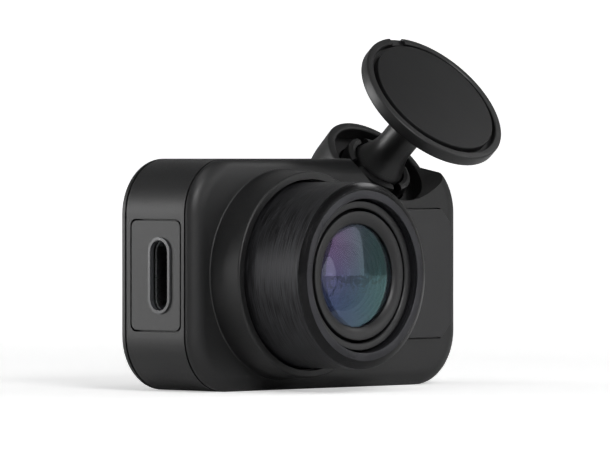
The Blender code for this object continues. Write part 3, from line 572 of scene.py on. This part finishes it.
def rear_shell():
    """The rear cover: an eased edge, a lip inside the housing, and the holes for what it holds."""
    clear = WALL + GAP
    rings = []
    steps = 7
    for step in range(steps + 1):
        angle = math.radians(90 * step / steps)
        back, inset = REAR_ROUND * (1 - math.cos(angle)), REAR_ROUND * (1 - math.sin(angle))
        rings.append(body_ring(REAR - back, inset))
    inner = REAR - REAR_THICKNESS
    rings += [body_ring(inner), body_ring(inner, clear), body_ring(inner - REAR_LIP, clear)]
    within = clear + 1.0 * MM
    rings += [body_ring(inner - REAR_LIP, within), body_ring(inner, within)]
    shell = loft("rear_shell", rings)
    action = middle("action_button")
    audio = middle("audio_button")
    led = middle("light_pipe")
    mic = middle("microphone")
    through = (REAR + OVER, inner - OVER)
    cutters = [
        along_y("action_hole", ACTION_HOLE, action.x, action.z, *through, FINE),
        slab("audio_hole", rounded_outline(*AUDIO_HOLE, AUDIO_HOLE[1] / 2),
             (audio.x, REAR, audio.z), 4 * OVER),
        along_y("led_hole", LED_HOLE, led.x, led.z, *through),
        along_y("mic_hole", MICROPHONE_HOLE, mic.x, mic.z, *through),
    ]
    for x, z in screw_holes():
        axis = axis_at(Vector((x, REAR, z)), math.radians(90))
        cutters.append(turned("screw_hole", [
            (0, -OVER), (SCREW_HEAD, -OVER), (SCREW_HEAD, SCREW_SINK), (SCREW_SHANK, SCREW_SINK),
            (SCREW_SHANK, 2 * OVER), (0, 2 * OVER)], axis, SMALL))
    relief_low = MOUTH.z - SOCKET_RADIUS
    relief_high = HEIGHT - REAR_ROUND
    relief_rear = REAR - SOCKET_REAR + GAP
    cutters.append(slab("socket_relief", rounded_outline(
        2 * (SOCKET_RADIUS + GAP), relief_high - relief_low, 0.2 * MM, 2),
        (BALL.x, relief_rear - REAR_LIP, (relief_high + relief_low) / 2), 2 * REAR_LIP))
    combine(shell, "DIFFERENCE", *cutters)
    wear(ease(shell), FINISH["shell_plastic"], "camera", "rear_cover", slot="shell_plastic")


def housing_shell():
    """The middle band, with its port pocket, card slot and the socket's clearance."""
    rings = [body_ring(HOUSING_REAR, WALL), body_ring(HOUSING_REAR), body_ring(HOUSING_FRONT),
             body_ring(HOUSING_FRONT, WALL)]
    shell = loft("housing_shell", rings, closed_section=True)
    plate_low, plate_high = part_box("port_plate")
    plate = (plate_low + plate_high) / 2
    grow = PORT_POCKET_GAP + GAP
    pocket = slab("port_pocket", rounded_outline(plate_high.y - plate_low.y + grow,
                                                 plate_high.z - plate_low.z + grow, 1.0 * MM, 6),
                  (-SIDE, plate.y, plate.z), 1.5 * MM, "X")
    opening = slab("port_opening", port_outline(PORT_SINK),
                   (-SIDE, PORT.y, PORT.z), 4 * OVER, "X")
    card = slab("card_opening", rounded_outline(*CARD_HOLE, 0.65 * MM, 6),
                (SIDE, CARD.y, CARD.z), 4 * OVER, "X")
    sweep = turned("socket_sweep", [
        (0, -2 * SOCKET_LENGTH), (SOCKET_RADIUS + GAP, -2 * SOCKET_LENGTH), (SOCKET_RADIUS + GAP, 0),
        (SOCKET_RADIUS + GAP + SOCKET_LENGTH, SOCKET_LENGTH), (0, SOCKET_LENGTH)], SOCKET_FRAME)
    combine(shell, "DIFFERENCE", pocket, opening, card, sweep)
    wear(ease(shell), FINISH["shell_plastic"], "camera", "mid_housing", slot="shell_plastic")


def front_shell():
    """A cup with a rounded front edge, the lens boss and the ball socket, all one moulding."""
    flat = SEAM - FRONT_BULGE
    inner = flat + FRONT_WALL
    rings = [body_ring(inner, WALL), body_ring(SEAM, WALL), body_ring(SEAM)]
    steps = 10
    for step in range(1, steps + 1):
        angle = math.radians(90 * step / steps)
        ahead, inset = FRONT_BULGE * math.sin(angle), FRONT_ROUND * (1 - math.cos(angle))
        rings.append(body_ring(SEAM - ahead, inset))
    shell = loft("front_shell", rings)
    bore = BARREL_RADIUS + GAP
    mouth = BARREL_RADIUS + BARREL_GAP
    step_height = -BOSS_FRONT - 1.2 * MM
    root = -inner - 0.2 * MM
    fillet = 0.2 * MM
    base = [(BOSS_BASE_RADIUS + fillet * (1 - math.sin(a)), -flat + fillet * (1 - math.cos(a)))
            for a in (math.radians(90 * i / 5) for i in range(6))]
    lip = arc((BOSS_RADIUS - BOSS_EASE, -BOSS_FRONT - BOSS_EASE), BOSS_EASE, 0, 90, 5)
    boss = turned("boss", [(bore, root), (BOSS_BASE_RADIUS + fillet, root)] + base + lip + [
        (mouth, -BOSS_FRONT), (mouth, step_height), (bore, step_height)], LENS_AXIS)
    boss_hole = along_y("boss_hole", (bore + BOSS_BASE_RADIUS) / 2, LENS.x, LENS.z,
                        SEAM + OVER, BOSS_FRONT, FINE)
    bowl = CLAW_RADIUS + GAP
    bowl_edge = math.degrees(math.asin((SOCKET_GROOVE - BALL_SINK) / bowl))
    bowl_section = arc((0, -BALL_SINK), bowl, -bowl_edge, -90, 12)
    bowl_section[-1] = (0, -BALL_SINK - bowl)
    collar = 0.25 * MM
    outer = arc((SOCKET_RADIUS - collar, -collar), collar, 0, 90, 4)
    inside = arc((SOCKET_BORE + collar, -collar), collar, 90, 180, 4)
    socket = turned("socket", [(0, -SOCKET_LENGTH), (SOCKET_RADIUS, -SOCKET_LENGTH)] + outer + inside + [
        (SOCKET_BORE, -SOCKET_GROOVE)] + bowl_section, SOCKET_FRAME)
    rise = 7 * MM
    shy = 0.01 * MM
    wall = turned("socket_wall", [
        (SOCKET_BORE + shy, -1 * MM), (SOCKET_RADIUS - shy, -1 * MM), (SOCKET_RADIUS - shy, 0),
        (SOCKET_RADIUS + rise, rise), (SOCKET_BORE + rise, rise), (SOCKET_BORE + shy, 0)], SOCKET_FRAME)
    inset = 0.03 * MM
    corner = loft("socket_corner", [body_ring(REAR - SOCKET_REAR, inset)] + [
        body_ring(SEAM - FRONT_BULGE * math.sin(a), inset + FRONT_ROUND * (1 - math.cos(a)))
        for a in (math.radians(90 * step / steps) for step in range(steps + 1))])
    combine(wall, "INTERSECT", corner)
    front = flat + 0.05 * MM
    back = REAR - SOCKET_REAR
    keep = slab("socket_keep", rounded_outline(4 * SOCKET_RADIUS, 4 * SOCKET_RADIUS, 1 * MM, 2),
                (BALL.x, (front + back) / 2, MOUTH.z), back - front)
    combine(socket, "INTERSECT", keep)
    hole_radius = (SOCKET_RADIUS + SOCKET_BORE) / 2
    start = -SOCKET_LENGTH - OVER
    socket_hole = turned("socket_hole", [
        (0, start), (hole_radius, start), (hole_radius, 0), (hole_radius + rise, rise), (0, rise)],
        SOCKET_FRAME)
    pocket = slab("trim_pocket", trim_outline(GAP * 0.5), (0, flat + TRIM_POCKET_DEPTH - OVER, 0), 2 * OVER)
    combine(shell, "DIFFERENCE", boss_hole, socket_hole)
    combine(shell, "UNION", boss, socket, wall)
    combine(shell, "DIFFERENCE", pocket)
    wear(ease(shell, 0.08 * MM), FINISH["shell_plastic"], "camera", "front_cover", slot="shell_plastic")


def trim_outline(grow=0.0):
    """The trim plate seen from the front: an arc round the boss, and clipped outer corners."""
    low_z, high_z = low("trim_plate").z - grow, high("trim_plate").z + grow
    end = high("trim_plate").x + grow
    clear = BOSS_BASE_RADIUS + TRIM_BOSS_GAP - grow
    start = math.degrees(math.asin((high_z - LENS.z) / clear))
    stop = math.degrees(math.asin((low_z - LENS.z) / clear))
    across, up = TRIM_CORNER
    return arc((LENS.x, LENS.z), clear, start, stop, 24) + [
        (end - across, low_z), (end, low_z + up), (end, high_z - up), (end - across, high_z)]


def trim():
    """The dark plate inlaid in the front, plain all over."""
    box_low, box_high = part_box("trim_plate")
    thickness = box_high.y - box_low.y
    plate = slab("trim_cover", trim_outline(), (0, (box_low.y + box_high.y) / 2, 0), thickness)
    wear(ease(plate, 0.1 * MM), FINISH["trim_plastic"], "camera", "trim_plate", slot="trim_plastic")


# ---------------------------------------------------------------- lens

def lens_pieces():
    """The barrel's brushed wall, bright chamfer and faced rim, the retaining ring, and what sits inside."""
    front = -RIM_FACE
    face = front - RECESS
    bore = 11.2 * MM
    rear = -high("lens_barrel").y
    wall_end = front - RIM_CHAMFER
    sleeve = turned("barrel_sleeve", [
        (BARREL_RADIUS, rear), (BARREL_RADIUS, wall_end - 0.06 * MM),
        (BARREL_RADIUS - 0.05 * MM, wall_end), (bore, wall_end), (bore, rear)], LENS_AXIS)
    wear(ease(sleeve, 0), FINISH["spun_aluminium"], "camera", "lens_barrel", slot="spun_aluminium")
    chamfer = turned("barrel_chamfer", [
        (BARREL_RADIUS - 0.06 * MM, wall_end), (RIM_RADIUS + 0.04 * MM, front - 0.04 * MM),
        (RIM_RADIUS - 0.1 * MM, front - 0.02 * MM), (RIM_BORE + 0.4 * MM, wall_end)], LENS_AXIS)
    wear(ease(chamfer, 0), CHAMFER, "camera", slot="spun_aluminium")
    lip = 0.12 * MM
    rim_wall = 0.7 * MM
    rim_rear = face - 2 * MM
    rim = turned("barrel_rim", [
        (RIM_RADIUS, front - lip)] + arc((RIM_RADIUS - lip, front - lip), lip, 30, 90, 4) + arc(
        (RIM_BORE + lip, front - lip), lip, 90, 180, 5) + [
        (RIM_BORE, rim_rear), (RIM_BORE + rim_wall, rim_rear), (RIM_BORE + rim_wall, front - rim_wall)],
        LENS_AXIS)
    wear(ease(rim, 0), RIM, "camera", slot="spun_aluminium")
    outer = RIM_BORE - GAP
    inner = outer - RETAINER_WIDTH
    ring = turned("retaining_ring", [
        (outer, face - 1.4 * MM)] + arc((outer - lip, face - lip), lip, 0, 90, 4) + [
        (inner + lip, face - 0.12 * MM), (inner, face - 0.24 * MM), (inner, face - 1.4 * MM)], LENS_AXIS)
    wear(ease(ring, 0), FINISH["lens_black"], "camera", "lens_retainer", slot="lens_black")
    cell(face, inner - CELL_GAP)
    glasses(face)


def cell(face, outer):
    """The lens cell: a dished front ring round the glass, and stepped baffles behind it."""
    cell_rear = -high("lens_cell").y
    lip = 0.15 * MM
    seat = face - 1.8 * MM
    baffles = []
    radius = GLASS_RADIUS - 0.5 * MM
    stop = 4.5 * MM
    count = 5
    pitch = (seat - 0.2 * MM - cell_rear - 0.8 * MM) / count
    for step in range(count):
        here = radius + (stop - radius) * step / (count - 1)
        height = seat - 0.1 * MM - step * pitch
        baffles += [(here, height), (here, height - pitch * 0.5), (here + 0.25 * MM, height - pitch * 0.55),
                    (here + 0.25 * MM, height - pitch * 0.95)]
    ring = turned("lens_cell_ring", [
        (outer, cell_rear)] + arc((outer - lip, face - 0.1 * MM - lip), lip, 0, 90, 4) + [
        (GLASS_RADIUS + 0.9 * MM, face - 0.16 * MM), (GLASS_RADIUS + 0.35 * MM, face - 0.34 * MM),
        (GLASS_RADIUS + 0.12 * MM, face - 0.6 * MM), (GLASS_RADIUS + 0.12 * MM, seat),
        (GLASS_RADIUS - 0.3 * MM, seat)] + baffles + [(stop, cell_rear)], LENS_AXIS)
    wear(ease(ring, 0), FINISH["lens_black"], "camera", "lens_cell", slot="lens_black")


def lens_body(name, node, radius, front_edge, crown, thickness, hollow, material):
    """A lens with a domed front, a ground edge and a hollowed back."""
    steps = 16
    back = [(radius * i / steps, front_edge - thickness + hollow * (1 - (i / steps) ** 2))
            for i in range(steps + 1)]
    bevel = 0.1 * MM
    dome = [(radius * (1 - i / steps), front_edge + crown * (1 - (1 - i / steps) ** 2))
            for i in range(steps + 1)]
    profile = back[:-1] + [(radius - bevel, front_edge - thickness), (radius, front_edge - thickness + bevel),
                           (radius, front_edge - bevel)] + dome[1:]
    piece = turned(name, profile, LENS_AXIS, 96)
    return wear(ease(piece, 0), material, "camera", node, slot="coated_glass")


def glasses(face):
    """The clear front glass and the two coated ones behind it."""
    lens_body("front_glass", "front_lens", GLASS_RADIUS, face - 0.75 * MM, GLASS_CROWN, 0.95 * MM, 0.35 * MM,
              FINISH["coated_glass"])
    for name, node, radius, crown in (("second_glass", "second_lens", 4.2 * MM, 0.9 * MM),
                                      ("third_glass", "third_lens", 3.2 * MM, 0.6 * MM)):
        front = -low(node).y
        thickness = high(node).y - low(node).y
        lens_body(name, node, radius, front - crown, crown, thickness - crown, 0.0, INNER_GLASS_PAINTED_GLOW)


# ---------------------------------------------------------------- mount

def mount_pieces():
    """The split cup, the ball, the stem and the plate."""
    claws = eased_copy("claw_ring", "claw_shell", 0.06 * MM)
    wear(claws, FINISH["socket_black"], "camera", "claw_ring", slot="socket_black")
    radius = (high("mount_ball").x - low("mount_ball").x) / 2
    ball_profile = arc((0, 0), radius, -90, 90, 40)
    ball_profile[0], ball_profile[-1] = (0.0, -radius), (0.0, radius)
    ball = turned("ball", ball_profile, STEM_FRAME, 72)
    wear(ease(ball, 0), FINISH["mount_plastic"], "ball", "mount_ball", slot="mount_plastic")
    stem()
    plate()


def stem():
    """A neck that swells into the ball and into the plate."""
    ball = (high("mount_ball").x - low("mount_ball").x) / 2
    start = math.radians(28)
    skirt = (ball + 0.02 * MM) * math.cos(start)
    skirt_height = (ball + 0.02 * MM) * math.sin(start)
    foot = [(0.0, ball * 0.5), (skirt * 0.8, ball * 0.3), (skirt, skirt_height)]
    neck_start = ball + 1.7 * MM
    neck = [(STEM_RADIUS + (skirt - STEM_RADIUS) * (1 - math.sin(t * math.pi / 2)) ** 1.35,
             skirt_height + (neck_start - skirt_height) * t) for t in (i / 14 for i in range(1, 15))]
    neck += [(STEM_RADIUS, PLATE_DISTANCE - 2.4 * MM)]
    top = PLATE_DISTANCE - 0.25 * MM
    flare = [(STEM_RADIUS + 1.25 * MM * (1 - math.cos(a)), top - 1.35 * MM * (1 - math.sin(a)))
             for a in (math.radians(90 * i / 8) for i in range(1, 9))]
    piece = turned("stem", foot + neck + flare + [(0, top)], STEM_FRAME, 72)
    wear(ease(piece, 0), FINISH["mount_plastic"], "stem", "mount_stem", slot="mount_plastic")


def plate():
    """The round plate: a raised rim, a dark groove and the pad inside it."""
    top = PLATE_DISTANCE + PLATE_THICKNESS
    lip = 0.25 * MM
    under = 0.5 * MM
    floor = top - 0.95 * MM
    profile = [(0, PLATE_DISTANCE), (PLATE_RADIUS - under, PLATE_DISTANCE)]
    profile += arc((PLATE_RADIUS - under, PLATE_DISTANCE + under), under, -90, 0, 5)[1:]
    profile += arc((PLATE_RADIUS - lip, top - lip), lip, 0, 90, 5)
    groove = 10.05 * MM
    profile += [(groove + 0.1 * MM, top), (groove, top - 0.1 * MM), (groove, floor), (0, floor)]
    disc = turned("plate_disc", profile, STEM_FRAME)
    notch_frame = STEM_FRAME @ Matrix.Translation((0, PLATE_RADIUS - 0.4 * MM, top))
    notch_outline = rounded_outline(2.6 * MM, 1.6 * MM, 0.3 * MM, 4)
    notch = loft("plate_notch", [[Vector((u, v, h)) for u, v in notch_outline] for h in (-0.5 * MM, 1 * MM)],
                 frame_matrix=notch_frame)
    combine(disc, "DIFFERENCE", notch)
    wear(ease(disc, 0), FINISH["mount_plastic"], "plate", "mount_plate", slot="mount_plastic")
    pad_low = floor + 0.15 * MM
    pad_height = PLATE_DISTANCE + PLATE_THICKNESS + 0.15 * MM
    edge = 0.15 * MM
    radius = PAD_RADIUS - 0.25 * MM
    pad = turned("pad", [(0, pad_low), (radius, pad_low)] + arc(
        (radius - edge, pad_height - edge), edge, 0, 90, 4) + [(0, pad_height)], STEM_FRAME)
    wear(ease(pad, 0), FINISH["adhesive"], "plate", "adhesive_pad", slot="adhesive")


# ---------------------------------------------------------------- power socket, buttons

def port_pieces():
    """The end plate, the polished rim of the power opening, coloured lighter grey as a painted highlight, and the
    connector behind it.
    """
    box_low, box_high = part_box("port_plate")
    centre = (box_low + box_high) / 2
    proud = -SIDE - box_low.x
    thickness = box_high.x - (-SIDE)
    width, tall = box_high.y - box_low.y, box_high.z - box_low.z
    plate = slab("port_cover", rounded_outline(width, tall, 0.9 * MM, 8),
                 (-SIDE + thickness / 2, centre.y, centre.z), thickness, "X")
    hole = slab("port_cover_hole", port_outline(PORT_CLEARANCE),
                (-SIDE, PORT.y, PORT.z), 4 * OVER, "X")
    combine(plate, "DIFFERENCE", hole)
    wear(ease(plate, 0.1 * MM), FINISH["port_plastic"], "camera", "port_plate", slot="port_plastic")
    rim = slab("port_rim", port_outline(PORT_RIM),
               (-SIDE - proud / 2 + 0.2 * MM, PORT.y, PORT.z), proud + 0.4 * MM, "X")
    well = slab("port_rim_hole", port_outline(),
                (-SIDE, PORT.y, PORT.z), 4 * OVER, "X")
    combine(rim, "DIFFERENCE", well)
    wear(ease(rim, 0.08 * MM), PORT_EDGE_PAINTED_HIGHLIGHT, "camera", slot="port_plastic")
    for node, name in (("usb_shell", "socket_shell"), ("usb_tongue", "socket_tongue")):
        slot = next(e["material_slot"] for e in frame["record"]["subparts"] if e["node"] == node)
        wear(eased_copy(node, name, 0.04 * MM), FINISH[slot], "camera", node, slot=slot)


def button_pieces():
    """The two keys, the memory card and the rear screws."""
    for body in ("action", "audio"):
        node = f"{body}_button"
        key = eased_copy(node, f"{body}_key", 0.15 * MM)
        wear(key, FINISH["button_plastic"], body, node, slot="button_plastic")
    wear(eased_copy("memory_card", "card", 0.08 * MM), FINISH["card_resin"], "card", "memory_card",
         slot="card_resin")
    for number in (1, 2, 3):
        wear(eased_copy(f"screw_{number}", f"cover_screw_{number}", 0.06 * MM), FINISH["screw_steel"],
             "camera", f"screw_{number}", slot="screw_steel")


# ---------------------------------------------------------------- floor, light, camera

def studio_floor():
    """A pale floor that curves up into a pale wall all round."""
    radius, cove, wall = 1.9, 0.6, 1.7
    profile = [(0, 0)] + arc((radius - cove, cove), cove, -90, 0, 12) + [(radius, wall)]
    angles = [2 * math.pi * i / 96 for i in range(96)]
    mesh = bpy.data.meshes.new("studio_floor")
    body = bmesh.new()
    loops = []
    for r, h in profile:
        ring = [body.verts.new((0, 0, h))] if r == 0 else [
            body.verts.new((r * math.cos(a), r * math.sin(a), h)) for a in angles]
        loops.append(ring)
    for first, second in zip(loops, loops[1:]):
        for i in range(len(angles)):
            j = (i + 1) % len(angles)
            corners = [first[i % len(first)], second[i], second[j]]
            if len(first) > 1:
                corners.append(first[j])
            body.faces.new(corners)
    body.to_mesh(mesh)
    body.free()
    mesh.shade_smooth()
    floor = place(bpy.data.objects.new("studio_floor", mesh))
    floor.location.z = CAD_BOX[0].z
    material, tree, shader, on = new_finish("matt_white_paper")
    paper = mottle(tree, on, 40 * MM)
    tree.links.new(between(tree, paper, "#f4f4f4", "#f7f7f7"), shader.inputs["Base Color"])
    shader.inputs["Roughness"].default_value = 1.0
    shader.inputs["Specular IOR Level"].default_value = 0.0
    shader.inputs["Emission Color"].default_value = (1, 1, 1, 1)
    seen = add_node(tree, "ShaderNodeLightPath").outputs["Is Camera Ray"]
    away = add_node(tree, "ShaderNodeVectorMath", {"operation": "LENGTH"}, {0: on}).outputs["Value"]
    lift = add_node(tree, "ShaderNodeMapRange",
                    {"From Min": 0.12, "From Max": 0.6, "To Min": FLOOR_GLOW, "To Max": WALL_GLOW},
                    {"Value": away}).outputs[0]
    glow = add_node(tree, "ShaderNodeMath", {"operation": "MULTIPLY"}, {0: seen, 1: lift})
    tree.links.new(glow.outputs[0], shader.inputs["Emission Strength"])
    mesh.materials.append(material)


def softbox(name, place_at, aim, width, height, power):
    """A rectangular lamp that faces a point."""
    light = bpy.data.lights.new(name, "AREA")
    light.shape = "RECTANGLE"
    light.size, light.size_y = width, height
    light.energy = power
    lamp = place(bpy.data.objects.new(name, light))
    lamp.location = place_at
    lamp.rotation_euler = (Vector(aim) - Vector(place_at)).to_track_quat("-Z", "Y").to_euler()


def studio_light():
    """An even white surround and five soft lamps."""
    world = bpy.data.worlds.new("studio")
    world.use_nodes = True
    backdrop = world.node_tree.nodes["Background"]
    backdrop.inputs["Color"].default_value = (1, 1, 1, 1)
    backdrop.inputs["Strength"].default_value = WORLD_LEVEL
    bpy.context.scene.world = world
    aim = (0, 0, HEIGHT / 2)
    softbox("overhead", (-0.25, -0.25, 0.9), aim, 0.6, 0.5, 1.5)
    softbox("left_rear", (-0.56, 0.84, 0.1), aim, 0.5, 0.35, 4.4)
    softbox("window", (0.52, -0.74, 0.2), aim, 0.46, 0.5, 1.1)
    softbox("top_right", (0.66, -0.32, 0.53), aim, 0.22, 0.16, 0.6)
    softbox("left_front", (-0.34, -0.72, 0.45), aim, 0.3, 0.24, 3.2)


def camera():
    """A long lens at the height of the body's top, half way round to the power socket's end."""
    azimuth = math.radians(-46.6)
    distance = 0.85
    aim_height = 22.2 * MM
    right = Vector((math.cos(azimuth), math.sin(azimuth), 0))
    back = Vector((math.sin(azimuth), -math.cos(azimuth), 0))
    aim = right * 2.01 * MM + Vector((0, 0, aim_height))
    data = bpy.data.cameras.new("camera")
    data.lens = 366.3
    data.sensor_width = 36
    data.clip_start, data.clip_end = 0.05, 10
    view = place(bpy.data.objects.new("camera", data))
    view.location = aim + back * distance + Vector((0, 0, HEIGHT - aim_height))
    view.rotation_euler = (aim - view.location).to_track_quat("-Z", "Y").to_euler()
    bpy.context.scene.camera = view
    bpy.context.scene.view_settings.view_transform = "Standard"


camera()
studio_floor()
studio_light()
dress_cad_nodes()
rear_shell()
housing_shell()
front_shell()
trim()
lens_pieces()
mount_pieces()
port_pieces()
button_pieces()
